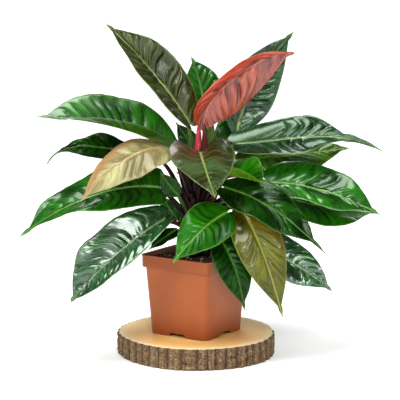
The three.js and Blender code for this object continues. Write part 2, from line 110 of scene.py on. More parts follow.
def piece(name, points, faces, materials, slots=None, marks=(), uv=None, smooth=True, poles=False):
    """A mesh object from points in millimetres and an array of faces, or from a grid whose rows
    are rings, with no faces given. slots gives each face its material, marks are named values
    per point, and uv is a pair per point. With poles, rings that have shrunk to a point are
    joined there."""
    mesh = bpy.data.meshes.new(name)
    if faces is None:
        faces = grid_faces(*points.shape[:2], wrap=True)
    points = points.reshape(-1, 3)
    corners = np.asarray(faces, np.int32)
    mesh.vertices.add(len(points))
    mesh.vertices.foreach_set("co", (points / 1000).astype(np.float32).ravel())
    mesh.loops.add(corners.size)
    mesh.loops.foreach_set("vertex_index", corners.ravel())
    mesh.polygons.add(len(corners))
    starts = np.arange(0, corners.size, corners.shape[1], dtype=np.int32)
    mesh.polygons.foreach_set("loop_start", starts)
    for material in materials:
        mesh.materials.append(material)
    if slots is not None:
        mesh.polygons.foreach_set("material_index", np.asarray(slots, np.int32))
    mesh.update(calc_edges=True)
    mesh.polygons.foreach_set("use_smooth", np.full(len(corners), smooth))
    for mark, values in dict(marks).items():
        values = np.asarray(values, np.float32).ravel()
        mesh.attributes.new(mark, "FLOAT", "POINT").data.foreach_set("value", values)
    if uv is not None:
        layer = mesh.uv_layers.new(name="UVMap")
        layer.data.foreach_set("uv", np.asarray(uv, np.float32)[corners.ravel()].ravel())
    if poles:
        body = bmesh.new()
        body.from_mesh(mesh)
        bmesh.ops.remove_doubles(body, verts=body.verts, dist=1e-7)
        body.to_mesh(mesh)
        body.free()
    made = bpy.data.objects.new(name, mesh)
    bpy.context.scene.collection.objects.link(made)
    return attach(made, "root")


def ripple(seed, waves, low, high, *axes):
    """Smooth seeded noise, mostly from -1 to 1: the sum of sines in random directions over the
    axes, with from low to high waves per unit."""
    draw = np.random.default_rng(seed)
    total = 0
    for _ in range(waves):
        way = draw.normal(size=len(axes))
        way *= 2 * math.pi * draw.uniform(low, high) / np.linalg.norm(way)
        total = total + np.sin(sum(w * axis for w, axis in zip(way, axes)) + draw.uniform(0, 6.3))
    return total / math.sqrt(waves) / 1.5


def log_surface():
    """Grid of the slice from the middle of its underside, up its bark, to the middle of its top.
    The radius is the trunk's outline, an ellipse with a faint five-fold wave, less furrows:
    |sin| lobes round the trunk, broken by ripples along the grain, with lesser ones, grit and
    cracks over them, and a chamfer at both edges. On the sawn faces it is less the bark. Also
    returns the furrows' depth as a share, and which rows are the bark's."""
    around, up = 1320, 44
    turn = np.linspace(0, 2 * math.pi, around, endpoint=False)
    under, over = [0, 0.4, 0.8, 0.97], [*np.linspace(0.975, 0.02, 26), 0]
    share = np.concatenate([under, np.ones(up), over])
    below, above = np.zeros(len(under)), np.ones(len(over))
    height = SLICE_HEIGHT * np.concatenate([below, np.linspace(0, 1, up), above])
    edge = np.concatenate([below, np.ones(up), 0 * above])
    a, s, z, e = turn[None, :], share[:, None], height[:, None], edge[:, None]
    outline = 1 + 0.012 * np.cos(2 * a + 0.6) + 0.006 * np.cos(5 * a)
    skin = 19  # the trunk's radius in the units that the ripples are drawn in
    x, y = skin * np.cos(a), skin * np.sin(a)
    drift = 2.2 * ripple(4, 24, 0.3, 1.3, np.cos(a), np.sin(a))
    drift = drift + 0.9 * ripple(3, 24, 0.03, 0.24, x, y, z / 22)
    plates = np.abs(np.sin(PLATES * a + drift)) ** 0.6
    broken = 3 * drift + ripple(6, 24, 0.02, 0.3, x, y, z / 12)
    lesser = np.abs(np.sin(LESSER_PLATES * a + broken)) ** 0.5
    fine = ripple(5, 40, 0.3, 1.2, x * 1.6, y * 1.6, z / 4)
    cracks = np.clip(ripple(9, 30, 0.1, 0.5, x * 0.7, y * 0.7, z / 5) - 0.75, 0, 1)
    furrow = FURROW * (1 - plates) + CRACK * cracks
    furrow = furrow + (LESSER_FURROW * (1 - lesser) + GRIT * (1 - fine)) * plates
    bevel = np.clip(1 - np.minimum(z, SLICE_HEIGHT - z) / CHAMFER_HEIGHT, 0, 1) ** 2
    cut = e * (furrow + CHAMFER_DEPTH * bevel) + (1 - e) * BARK_THICKNESS
    radius = (SLICE_RADIUS * outline + CREST - cut) * s
    points = np.stack([radius * np.cos(a), radius * np.sin(a), z + 0 * a], -1)
    depth = np.broadcast_to(e * furrow / 5, radius.shape)
    return points, depth, edge


# Sanded end grain of a pale hardwood: cream sapwood round a slightly darker heart, in fine rings.
# A noise's scale is its cells a metre, here and below: 320 makes grains 3 mm across.
wood, tree, shader, place = finish("end_grain_sanded_hardwood", 0.55, 1.5)
middle = (-PITH[0], -PITH[1], 0)
heart = add(tree, "Mapping", {"Vector": place, "Location": middle, "Scale": (1, 1, 0)})
warp = add(tree, "TexNoise", {"Vector": place, "Scale": 26, "Detail": 2}).outputs["Color"]
bent = add(tree, "MixRGB", {"Fac": 0.012, "Color1": heart, "Color2": warp})
out = add(tree, "VectorMath", {0: bent}, operation="LENGTH").outputs["Value"]
rings = add(tree, "Math", {0: out, 1: RING_RATE}, operation="MULTIPLY")
ring = add(tree, "Math", {0: rings}, operation="SINE")
tone = add(tree, "ValToRGB", {"Fac": out},
           ramp=[(0.0, "#f0b468"), (0.05, "#ffd284"), (0.07, "#f6be72"), (0.122, "#ffdc94")])
grain = add(tree, "TexNoise", {"Vector": place, "Scale": 320, "Detail": 6, "Roughness": 0.7})
late = add(tree, "MapRange", {"Value": ring, "From Min": 0.1, "From Max": 1, "To Max": 0.34})
dark = add(tree, "MixRGB", {"Fac": late, "Color1": tone, "Color2": "#ba8548"})
fleck = add(tree, "MapRange", {"Value": grain, "From Min": 0.45, "From Max": 0.75, "To Max": 0.3})
face = add(tree, "MixRGB", {"Fac": fleck, "Color1": dark, "Color2": "#c58f52"})
flat = add(tree, "Mapping", {"Vector": place, "Scale": (1, 1, 0)})
reach = add(tree, "VectorMath", {0: flat}, operation="LENGTH").outputs["Value"]
sap = add(tree, "MapRange", {"Value": reach, "From Min": 0.108, "From Max": 0.12, "To Max": 0.8})
pale = add(tree, "MixRGB", {"Fac": sap, "Color1": face, "Color2": "#fae2b8"})
bump = add(tree, "Bump", {"Strength": 0.25, "Distance": 0.0006, "Height": grain})
wire(shader, {"Base Color": pale, "Normal": bump})

# Furrowed bark: weathered grey-brown plates with lichen flecks, with painted shade that turns it near black
# down in the furrows.
# Its blotches are 9 mm across and its crumbs 2 mm.
bark, tree, shader, place = finish("weathered_bark", 0.92, 1.45)
depth = add(tree, "Attribute", attribute_name="furrow").outputs["Fac"]
broad = add(tree, "TexNoise", {"Vector": place, "Scale": 110, "Detail": 5, "Roughness": 0.7})
crumb = add(tree, "TexNoise", {"Vector": place, "Scale": 520, "Detail": 6, "Roughness": 0.75})
plate = add(tree, "ValToRGB", {"Fac": broad},
            ramp=[(0.32, "#3c2614"), (0.45, "#664a2c"), (0.54, "#846a46"), (0.66, "#a8946e")])
speck = add(tree, "ValToRGB", {"Fac": crumb},
            ramp=[(0.38, "#2c1a0a"), (0.5, "#6a4c2c"), (0.6, "#c0aa86")])
mixed = add(tree, "MixRGB", {"Fac": 0.6, "Color1": plate, "Color2": speck})
# painted shade: the deeper the furrow, the nearer the bark is to near black
sunk = add(tree, "MapRange", {"Value": depth, "From Min": 0.1, "From Max": 0.75})
shade = add(tree, "MixRGB", {"Fac": sunk, "Color1": mixed, "Color2": "#3a2310"})
bump = add(tree, "Bump", {"Strength": 0.9, "Distance": 0.0016, "Height": crumb})
wire(shader, {"Base Color": shade, "Normal": bump})

points, depth, edge = log_surface()
barked = (edge[:-1] + edge[1:] > 0.5) & (points[:-1, 0, 2] < SLICE_HEIGHT)
slots = np.repeat(barked.astype(int), points.shape[1])
log = piece("log_slice_round", points, None, [wood, bark], slots, {"furrow": depth}, poles=True)
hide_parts("log_slice")


# ---- Pot ---------------------------------------------------
# A 13 cm square nursery pot of thin injection-moulded polypropylene in terracotta brown, with a
# stiffening band round its rim and a drainage channel each way under its floor.
POT_Z, POT_HEIGHT, RIM_Z = SLICE_HEIGHT, 128.0, 108.0
FOOT_HALF, NECK_HALF, BAND_HALF, LIP_HALF = 54.0, 60.0, 64.0, 65.0
FOOT_CORNER, NECK_CORNER, INNER_CORNER = 13.0, 9.5, 8.0
WALL, FLOOR_TOP = 1.6, 6.8
CHANNEL, CHANNEL_HEIGHT, CHANNEL_SLOPE = 15.0, 5.0, 0.25
CUT_TOP, CUT_FADE = 14.0, 16.0  # the wall's rows below the first are lifted, fading to the second


def pot_ring(half, corner):
    """Points once round a square with rounded corners: on each side there are columns just
    either side of the drainage channel's edges. half and corner are columns of values."""
    edge = half - corner
    room = np.minimum(1, edge / 16)
    steps = np.array([3, 9, 14, CHANNEL - CHANNEL_SLOPE, CHANNEL + CHANNEL_SLOPE])
    inner = np.concatenate([-steps[::-1], steps]) * room
    outer = np.linspace(0, 1, 7)[None, :]
    stop = (CHANNEL + 0.6) * room
    side = np.concatenate([-edge + (edge - stop) * outer, inner, stop + (edge - stop) * outer], 1)
    bend = np.linspace(0, math.pi / 2, 12)[1:-1][None, :]
    x = np.concatenate([half + 0 * side, edge + corner * np.cos(bend)], 1)
    y = np.concatenate([side, edge + corner * np.sin(bend)], 1)
    turns = [(x, y), (-y, x), (-x, -y), (y, -x)]
    return tuple(np.concatenate(part, 1) for part in zip(*turns))


def channel_lift(x, y):
    """How far a foot is cut up into the pot: the channel's height near either axis."""
    near = np.minimum(np.abs(x), np.abs(y))
    return CHANNEL_HEIGHT * np.clip((CHANNEL + CHANNEL_SLOPE - near) / (2 * CHANNEL_SLOPE), 0, 1)


def pot_surface():
    """Grid of the pot's skin: a profile of half widths and heights, carried round a rounded
    square, from the middle of the underside, up the wall and over the rim, to the floor
    inside. Its lowest rows are lifted to the channel's roof."""
    # half width, height, corner radius, and 1 where the channel cuts the row
    under = [(s, 0.0, 0.24 * s, 1) for s in (0, 9, 18, 26, 34, 42, 48, 51)]
    under += [(FOOT_HALF - 1.3, 0.0, FOOT_CORNER, 1), (FOOT_HALF - 0.5, 0.35, FOOT_CORNER, 1),
              (FOOT_HALF - 0.1, 0.8, FOOT_CORNER, 1)]
    wall = [(FOOT_HALF + (NECK_HALF - FOOT_HALF) * z / RIM_Z, z,
             FOOT_CORNER - (FOOT_CORNER - NECK_CORNER) * z / RIM_Z, z < CUT_TOP)
            for z in np.linspace(1.4, RIM_Z - 2.2, 40)]
    neck = [(0.05, -1.4), (0.35, -0.8), (1.1, -0.35)]
    band = [(-1.2, 0), (-0.35, 0.25), (0, 0.9), (0.1, 4), (0.2, 9), (0.25, 14), (0.3, 17), (0.5, 17.8)]
    lip = [(-0.15, 18.4), (0, 19), (-0.1, 19.6), (-0.5, 20), (-1.2, 20), (-0.1 - WALL, 19.5)]
    rim = [(half + out, RIM_Z + z) for half, places in
           ((NECK_HALF, neck), (BAND_HALF, band), (LIP_HALF, lip)) for out, z in places]
    inside = [(LIP_HALF - WALL - 0.3, POT_HEIGHT - 2), (NECK_HALF - WALL, RIM_Z),
              (FOOT_HALF - WALL, FLOOR_TOP + 0.7), (FOOT_HALF - WALL - 3, FLOOR_TOP),
              (30, FLOOR_TOP), (0, FLOOR_TOP)]
    profile = np.array(under + wall + [(h, z, NECK_CORNER, 0) for h, z in rim] +
                       [(h, z, min(INNER_CORNER, 0.24 * h), 0) for h, z in inside])
    half, z, corner, cut = (profile[:, i : i + 1] for i in range(4))
    x, y = pot_ring(half, corner)
    foot = channel_lift(x, y)
    height = np.where(cut > 0, np.maximum(z, foot + z * (1 - foot / CUT_FADE)), z)
    return np.stack([x, y, height + POT_Z], -1)


# Satin polypropylene, coloured right through: a soft broad gloss over the faint grain, 1 mm wide,
# that the mould leaves, a little darker at the foot, and with painted shade on the rim band.
plastic, tree, shader, place = finish("moulded_polypropylene_terracotta", 0.45, 1.49, {
    "Specular IOR Level": 0.3})
cloud = add(tree, "TexNoise", {"Vector": place, "Scale": 14, "Detail": 3})
up = add(tree, "SeparateXYZ", {"Vector": place}).outputs["Z"]
low = add(tree, "MapRange", {"Value": up, "From Min": 0.034, "From Max": 0.075})
colour = add(tree, "ValToRGB", {"Fac": cloud},
             ramp=[(0.3, "#924a1e"), (0.5, "#994f22"), (0.7, "#9f5426")])
foot = add(tree, "MixRGB", {"Fac": low, "Color1": "#823c14", "Color2": colour})
# painted shade: the rim band is darkened as if the leaves over it shaded it
rim = add(tree, "MapRange", {"Value": up, "From Min": 0.139, "From Max": 0.142, "To Max": 0.5})
band = add(tree, "MixRGB", {"Fac": rim, "Color1": foot, "Color2": "#7e3a16"})
grit = add(tree, "TexNoise", {"Vector": place, "Scale": 900, "Detail": 2})
bump = add(tree, "Bump", {"Strength": 0.12, "Distance": 0.0003, "Height": grit})
wire(shader, {"Base Color": band, "Normal": bump})

pot = piece("pot_shell", pot_surface(), None, [plastic], poles=True)
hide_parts("pot")


# ---- Potting mix -------------------------------------------
# Moist peat and fine bark that fills the pot to a finger's width below its rim, lying in crumbs,
# with white grains of perlite through it.
MIX_LEVEL, MIX_HALF, MIX_CORNER = POT_HEIGHT - 9, 60.7, 7.6
SOIL_Z = POT_Z + MIX_LEVEL
MOUND, LUMP, FINE_LUMP = 5, 1.1, 0.9
STEM_ROOM = 17.5  # no grain lies nearer to the middle


def mix_height(x, y):
    """Height of the mix above its level: a low mound towards the stem, and sine lumps."""
    mound = MOUND * np.clip(1 - np.hypot(x, y) / NECK_HALF, 0, None)
    lumps = np.sin(x / 7.1 + 1) * np.cos(y / 6.3) + 0.6 * np.sin((x + y) / 4.7)
    return mound + LUMP * lumps


def mix_surface():
    """Rounded-square rings: out along the floor, up the sides, then in over the lumpy top,
    whose height also has fine ripples."""
    sides, tops = 6, 72
    half = np.concatenate([[0, 30, 50, 51.8], np.linspace(52.5, 58.0, sides),
                           np.linspace(MIX_HALF, 0, tops)])[:, None]
    level = np.concatenate([[7.2, 7.2, 7.2, 8.0], np.linspace(12, RIM_Z, sides),
                            np.full(tops, MIX_LEVEL)])[:, None]
    x, y = pot_ring(half, np.minimum(MIX_CORNER, 0.24 * half))
    lumps = mix_height(x, y) + FINE_LUMP * ripple(11, 40, 0.12, 0.4, x, y)
    return np.stack([x, y, POT_Z + level + (level == MIX_LEVEL) * lumps], -1)


# Damp peat: almost black brown, quite matt, with paler flecks 2 mm across.
peat, tree, shader, place = finish("damp_peat_and_bark", 0.95, 1.45)
fleck = add(tree, "TexNoise", {"Vector": place, "Scale": 420, "Detail": 6, "Roughness": 0.7})
colour = add(tree, "ValToRGB", {"Fac": fleck},
             ramp=[(0.35, "#1e130c"), (0.52, "#402b1d"), (0.66, "#80634a")])
bump = add(tree, "Bump", {"Strength": 1.0, "Distance": 0.002, "Height": fleck})
wire(shader, {"Base Color": colour, "Normal": bump})

# Perlite: puffed volcanic glass, chalk white and a little dusty.
perlite, tree, shader, place = finish("perlite_grain", 0.8, 1.5)
dust = add(tree, "TexNoise", {"Vector": place, "Scale": 700, "Detail": 3})
colour = add(tree, "ValToRGB", {"Fac": dust}, ramp=[(0.35, "#b9ad9b"), (0.6, "#f0ebe0")])
wire(shader, {"Base Color": colour})

bed = piece("potting_mix_bed", mix_surface(), None, [peat], poles=True)
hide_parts("potting_soil")


def grains(seed, count, small, large, flat):
    """Lumps strewn on the mix: each is an octahedron with every face cut in four, stretched by
    three random lengths, tilted and turned at random, sunk by a third into the surface, and
    clear of the stem."""
    draw = np.random.default_rng(seed)
    axes = np.array([[1, 0, 0], [0, 1, 0], [-1, 0, 0], [0, -1, 0], [0, 0, 1], [0, 0, -1]], float)
    belt = [(0, 1), (1, 2), (2, 3), (3, 0)]
    tris = [(a, b, 4) for a, b in belt] + [(b, a, 5) for a, b in belt]
    pairs = belt + [(i, 4) for i in range(4)] + [(i, 5) for i in range(4)]
    middle = axes[np.array(pairs)].sum(1)
    base = np.vstack([axes, middle / np.linalg.norm(middle, axis=1)[:, None]])
    corners = len(base)
    number = {frozenset(pair): 6 + i for i, pair in enumerate(pairs)}
    cut = []
    for a, b, c in tris:
        ab, bc, ca = (number[frozenset(pair)] for pair in ((a, b), (b, c), (c, a)))
        cut += [[a, ab, ca], [ab, b, bc], [ca, bc, c], [ab, bc, ca]]
    spot = draw.uniform(-MIX_HALF + 2.5, MIX_HALF - 2.5, (count * 2, 2))
    spot = spot[np.hypot(*spot.T) > STEM_ROOM][:count]
    size = draw.uniform(small, large, (len(spot), 1))
    size = size * draw.uniform([0.6, 0.6, flat], [1.2, 1.2, 1], (len(spot), 3))
    lumpy = base[None] * (1 + draw.uniform(-0.22, 0.22, (len(spot), corners, 1)))
    angle = draw.uniform(0, 2 * math.pi, len(spot))
    tilt = draw.uniform(-0.7, 0.7, len(spot))
    p = lumpy * size[:, None, :]
    x = p[..., 0] * np.cos(tilt)[:, None] - p[..., 2] * np.sin(tilt)[:, None]
    z = p[..., 0] * np.sin(tilt)[:, None] + p[..., 2] * np.cos(tilt)[:, None]
    y, c, s = p[..., 1], np.cos(angle)[:, None], np.sin(angle)[:, None]
    at = SOIL_Z + mix_height(*spot.T) + 0.35 * size[:, 2]
    points = np.stack([x * c - y * s + spot[:, :1], x * s + y * c + spot[:, 1:], z + at[:, None]], -1)
    faces = np.array(cut)[None] + corners * np.arange(len(spot))[:, None, None]
    return points.reshape(-1, 3), faces.reshape(-1, 3)


crumbs = piece("potting_mix_crumbs", *grains(21, 1500, 0.9, 2.5, 0.4), [peat], smooth=False)
white = piece("perlite_grains", *grains(22, 300, 0.7, 1.7, 0.6), [perlite], smooth=False)


# ---- Stem and petioles -------------------------------------
# The plant's short stem stands in the mix and carries all the petioles: juicy round stalks,
# maroon at the crown and greener towards the blade, each running on into its blade's midrib.
PLANT_TURN = math.radians(34)
STEM_HEIGHT, STEM_SUNK, STEM_FOOT, STEM_TIP = 100.0, 45.0, 16.0, 10.0
SCAR_DEPTH = 0.9
PETIOLE_FOOT, PETIOLE_NECK, PETIOLE_END = 6.0, 2.3, 0.6  # radii
BASE_DROP, BASE_PAST = 2.6, 3.0  # a petiole meets its blade this far under and past its base
RUN_FROM, RUN_TO = 0.05, 0.3  # the share of the midrib that it then runs on under
ROOT_LOW, ROOT_SPAN, ROOT_OUT = 0.1, 0.85, 3.0  # shares of the stem's height, and from its middle
SCALES, SCALE_TURN, SCALE_FIRST, SCALE_STEP = 46, 2.4, 14.0, 1.8
SHEATHS = (((22, 28, 380), 12.0), ((-9, 26, 352), 8.0))  # tip and half width
# What most leaves share: the curl in degrees; where the blade is widest; how wide its base is;
# how long and wide its drip tip is; how far its base's lobes reach back and where they peak; and
# how far its side veins sweep forward. A leaf's row says where it differs, and its fold and
# facing at the tip where these change along it.
USUAL = dict(curl=16, widest=0.34, base=0.3, drip=0.05, dripWidth=0.09, lobe=0.36, lobePeak=0.75,
             sweep=0.17)


def grown(name, skin, veins, quilt, root, half, rib, face, fold, wave, **own):
    """A leaf: its skin, its pairs of side veins and how strongly it is quilted, the share of the
    stem where it leaves, the half width of its blade, the points that its midrib passes
    through, the way its upper face looks, its fold in degrees and its wave in mm."""
    return USUAL | dict(name=name, skin=skin, veins=veins, quilt=quilt, root=root, half=half,
                        rib=rib, face=face, fold=fold, wave=wave) | own


LEAVES = [
    grown("leaf_01_bronze_upper_left", "bronze", 14, 2.3, 0.82, 42,
        [(-13, 20, 369), (-69, 10, 448), (-142, 0, 525)], (0.48, -0.79, 0.38), 37, 2, curl=14, widest=0.42),
    grown("leaf_02_green_left", "deep_green", 12, 0.8, 0.62, 54,
        [(-45, 25, 329), (-142, 5, 366), (-250, -15, 380)], (0, -0.36, 0.93), 58, 3, curl=14, widest=0.42,
        tipFold=30),
    grown("leaf_03_dark_left", "dark_green", 10, 1.2, 0.5, 26,
        [(-74, 35, 318), (-133, 15, 325), (-192, 0, 331), (-234, -10, 305)], (-0.1, -0.6, 0.8), 12, 5,
        curl=22, drip=0.22, dripWidth=0.2),
    grown("leaf_04_yellow_left", "fading", 10, 1.2, 0.72, 40,
        [(-41, -18, 330), (-87, -50, 331), (-135, -75, 302), (-177, -88, 259)], (0, -0.42, 0.9), -15, 2,
        curl=-6, widest=0.28, tipFace=(-0.35, -0.9, 0.3)),
    grown("leaf_05_green_lower_left", "green", 13, 0.7, 0.42, 46,
        [(-62, -10, 268), (-163, -35, 258), (-276, -50, 196)], (-0.1, -0.8, 0.6), 14, -6, widest=0.4,
        base=0.7, tipFold=30, tipFace=(-0.1, -0.3, 0.94)),
    grown("leaf_06_dark_lower_left", "silver_green", 14, 2, 0.22, 48,
        [(-52, -35, 220), (-124, -72, 172), (-194, -90, 101)], (-0.39, -0.78, 0.59), 38, 3, curl=14,
        widest=0.52, base=0.5, drip=0.02, tipFold=30),
    grown("leaf_07_bronze_front", "bronze_green", 10, 1, 0.95, 52,
        [(6, -25, 326), (15, -95, 307), (28, -165, 278)], (0, -0.5, 0.86), 20, 2, curl=14, widest=0.2,
        base=0.85, lobe=0.75, lobePeak=1.9),
    grown("leaf_08_green_top", "green", 9, 0.9, 0.86, 33,
        [(14, 64, 362), (8, 76, 412), (-8, 72, 466)], (0.3, -0.92, 0.2), 20, 2, curl=14, widest=0.5),
    grown("leaf_09_red_new", "red", 11, 2.6, 1, 46,
        [(12, 0, 372), (31, -5, 413), (84, -10, 458), (153, -12, 480)], (0.41, -0.78, -0.47), 33, 2,
        curl=14, widest=0.42, drip=0.02, sweep=-0.25),
    grown("leaf_10_dark_top_right", "sheened_green", 12, 2.4, 0.76, 40,
        [(66, 45, 355), (98, 52, 434), (154, 45, 508)], (0.3, -0.92, 0.1), 18, 3),
    grown("leaf_11_dark_right", "sheened_green", 12, 1.6, 0.7, 40,
        [(69, 20, 333), (145, 10, 342), (220, 0, 346), (291, -10, 326)], (0, -0.54, 0.84), 20, 4,
        widest=0.32, base=0.55, drip=0.24, dripWidth=0.2, lobe=0.6, tipFace=(0, -0.75, 0.6)),
    grown("leaf_12_olive_right_back", "shaded_green", 12, 0.8, 0.5, 38,
        [(71, 20, 307), (158, 48, 312), (247, 65, 320)], (0, -0.75, 0.65), 8, 5, curl=20),
    grown("leaf_13_green_right", "green", 10, 2, 0.55, 48,
        [(122, -15, 276), (201, -35, 266), (286, -45, 230)], (0, -0.54, 0.84), 22, 3, widest=0.38,
        base=0.7, lobe=0.5),
    grown("leaf_14_green_right_low", "green", 9, 0.6, 0.35, 37,
        [(111, 20, 256), (199, 10, 235), (287, -5, 226)], (0, -0.62, 0.78), 6, 4, curl=18, widest=0.58),
    grown("leaf_15_dark_right_front", "dark_green", 11, 1.1, 0.45, 38,
        [(46, -60, 275), (121, -98, 246), (197, -110, 182)], (0.25, -0.75, 0.6), 15, 3, base=0.42,
        drip=0.1),
    grown("leaf_16_bright_curled", "bright", 9, 0.7, 0.9, 37,
        [(50, -32, 291), (78, -75, 293), (104, -114, 291)], (0.1, -0.4, 0.9), 52, 2, curl=14),
    grown("leaf_17_olive_front_right", "olive", 11, 1, 0.3, 37,
        [(69, -58, 243), (102, -84, 179), (134, -88, 77)], (0.1, -0.98, 0.2), 12, 2, widest=0.38),
    grown("leaf_18_green_low_right", "silver_green", 11, 1.5, 0.15, 34,
        [(84, -30, 187), (152, -58, 155), (212, -65, 113)], (0.2, -0.85, 0.5), 12, 3),
    grown("leaf_19_bright_front", "bright", 10, 0.8, 0.25, 38,
        [(46, -84, 240), (6, -119, 217), (-35, -140, 173)], (-0.2, -0.9, 0.4), 11, 2, widest=0.26),
    grown("leaf_20_green_over_rim", "bright_deep", 11, 0.8, 0.1, 30,
        [(37, -60, 196), (60, -80, 150), (75, -82, 87)], (0.35, -0.9, 0.25), 10, 2),
    grown("leaf_21_small_low_left", "dark_green", 8, 0.5, 0.1, 16,
        [(-32, -24, 202), (-52, -38, 191), (-74, -46, 175)], (-0.3, -0.6, 0.7), 15, 1),
    grown("leaf_22_small_left", "bright_deep", 8, 0.4, 0.45, 15,
        [(-30, -26, 260), (-43, -30, 276), (-56, -32, 296)], (-0.3, -0.9, 0.3), 12, 1, curl=10),
    grown("leaf_23_small_left_low", "bright_deep", 8, 0.4, 0.3, 17,
        [(-32, -10, 219), (-43, -14, 236), (-55, -16, 255)], (-0.3, -0.9, 0.3), 12, 1, curl=10),
    grown("leaf_24_small_crown_left", "dark_green", 8, 0.5, 0.9, 16,
        [(0, 45, 316), (-15, 55, 337), (-33, 60, 362)], (0.1, -0.9, 0.4), 15, 1, curl=10),
    grown("leaf_25_dark_crown_right", "dark_green", 9, 0.5, 0.88, 28,
        [(43, 55, 329), (65, 67, 345), (91, 78, 360)], (0.1, -0.8, 0.6), 15, 2, curl=10),
    grown("leaf_26_back_left", "green", 13, 0.8, 0.66, 36,
        [(-23, 42, 310), (-72, 110, 315), (-121, 175, 294)], (-0.1, 0.3, 0.95), 15, 3),
    grown("leaf_27_back_middle", "dark_green", 13, 0.9, 0.52, 40,
        [(3, 48, 274), (9, 130, 267), (16, 205, 228)], (0, 0.3, 0.95), 15, 3),
    grown("leaf_28_back_right", "green", 13, 0.8, 0.58, 36,
        [(41, 46, 290), (88, 110, 297), (136, 170, 281)], (0.1, 0.3, 0.95), 15, 3),
    grown("leaf_29_back_low_left", "dark_green", 13, 0.8, 0.34, 38,
        [(-23, 50, 244), (-84, 110, 244), (-147, 155, 220)], (-0.2, 0.3, 0.9), 15, 3),
    grown("leaf_30_back_low_right", "green", 13, 0.8, 0.3, 38,
        [(41, 55, 229), (98, 110, 219), (156, 150, 184)], (0.2, 0.3, 0.9), 15, 3),
    grown("leaf_31_back_low_middle", "deep_green", 12, 0.8, 0.2, 36,
        [(3, 65, 212), (-1, 130, 201), (-8, 190, 145)], (0, 0.5, 0.85), 14, 3),
    grown("leaf_32_back_upright", "green", 10, 0.7, 0.92, 26,
        [(30, 76, 331), (62, 128, 370), (92, 168, 399)], (0.2, 0.8, 0.6), 18, 2),
]


def planted(points):
    """Points of the plant as laid out, turned about Z to where it stands in the pot."""
    c, s = math.cos(PLANT_TURN), math.sin(PLANT_TURN)
    x, y, z = np.moveaxis(np.asarray(points, float), -1, 0)
    return np.stack([x * c - y * s, x * s + y * c, z], -1)


def unit(v):
    """Vectors scaled to length 1."""
    return v / np.linalg.norm(v, axis=-1, keepdims=True)


def through(points, t):
    """The polynomial through equally spaced points (Lagrange's weights), and its slope, at t."""
    points, t = np.array(points, float), np.asarray(t, float)[..., None]
    last = len(points) - 1
    place, slope = 0, 0
    for i, point in enumerate(points):
        weight, rate = 1.0, 0.0
        for k in [k for k in range(last + 1) if k != i]:
            span = (i - k) / last
            rate = (rate * (t - k / last) + weight) / span
            weight = weight * (t - k / last) / span
        place, slope = place + weight * point, slope + rate * point
    return place, slope


def rib_frame(leaf, t):
    """Place, forward, up and side directions on the midrib: up is the face's direction, which
    may swing towards the tip, made square to the slope."""
    place, slope = through(leaf["rib"], t)
    forward = unit(slope)
    up = np.array(leaf["face"], float) + 0 * forward
    if "tipFace" in leaf:
        up = up + (np.array(leaf["tipFace"]) - up) * np.asarray(t)[..., None]
    up = unit(up - forward * (up * forward).sum(-1, keepdims=True))
    return place, forward, up, np.cross(forward, up)


def tube(path, radius, sides, seed, flute=0.0, thin=1.0):
    """A ring of points square to the path at each of its points: the radius there, times
    1 + flute cos(3 angle) + fine ripples, and flattened to the share thin in the plane that
    the path leans in. Both ends close on the path."""
    path, radius = np.vstack([path[:1], path, path[-1:]]), np.concatenate([[0], radius, [0]])
    along = unit(np.gradient(path[1:-1], axis=0))
    along = np.vstack([along[:1], along, along[-1:]])
    flat = unit(np.stack([1e-3 - along[:, 1], along[:, 0], 0 * along[:, 0]], -1))
    other = np.cross(along, flat)
    a = np.linspace(0, 2 * math.pi, sides, endpoint=False)[None, :]
    c, s = np.cos(a), np.sin(a)
    step = np.linspace(0, 1, len(path))[:, None]
    r = radius[:, None] * (1 + flute * np.cos(3 * a) + 0.03 * ripple(seed, 12, 0.5, 3, c, s, step * 6))
    ring = r[..., None] * (c[..., None] * flat[:, None] + thin * s[..., None] * other[:, None])
    return path[:, None] + ring


def petiole_path(leaf):
    """A Bezier curve from the stem, up and out, to just under the blade's base, and on along
    the midrib's underside, into which it sinks. Also returns the radii: wide at the foot and
    falling as t^0.7 to the neck, then evenly to the end."""
    place, forward, up, _ = rib_frame(leaf, np.array(0.0))
    end = place - BASE_DROP * up + BASE_PAST * forward
    root = np.array([0, 0, SOIL_Z + STEM_HEIGHT * (ROOT_LOW + ROOT_SPAN * leaf["root"])])
    reach = end - root
    out = unit(reach * [1, 1, 0])
    root = root + ROOT_OUT * out
    length = np.linalg.norm(end - root)
    arrive = unit(unit(reach) + 2 * forward)
    leave = unit(0.55 * out + [0, 0, 1])
    knots = [root, root + 0.4 * length * leave, end - 0.3 * length * arrive, end]
    t = np.linspace(0, 1, 26)[:, None]
    bezier = sum(math.comb(3, i) * t**i * (1 - t) ** (3 - i) * knot for i, knot in enumerate(knots))
    far = np.linspace(RUN_FROM, RUN_TO, 7)
    rib, _, rise, _ = rib_frame(leaf, far)
    sunk = rib - rise * (2.0 - 4.5 * (far[:, None] - RUN_FROM))
    neck = PETIOLE_NECK - 0.1
    taper = neck - (neck - PETIOLE_END) * (far - RUN_FROM) / (RUN_TO - RUN_FROM)
    radius = np.concatenate([PETIOLE_FOOT - (PETIOLE_FOOT - PETIOLE_NECK) * t[:, 0] ** 0.7, taper])
    radius[:3] += [1.2, 0.7, 0.3]
    return np.vstack([bezier, sunk]), radius


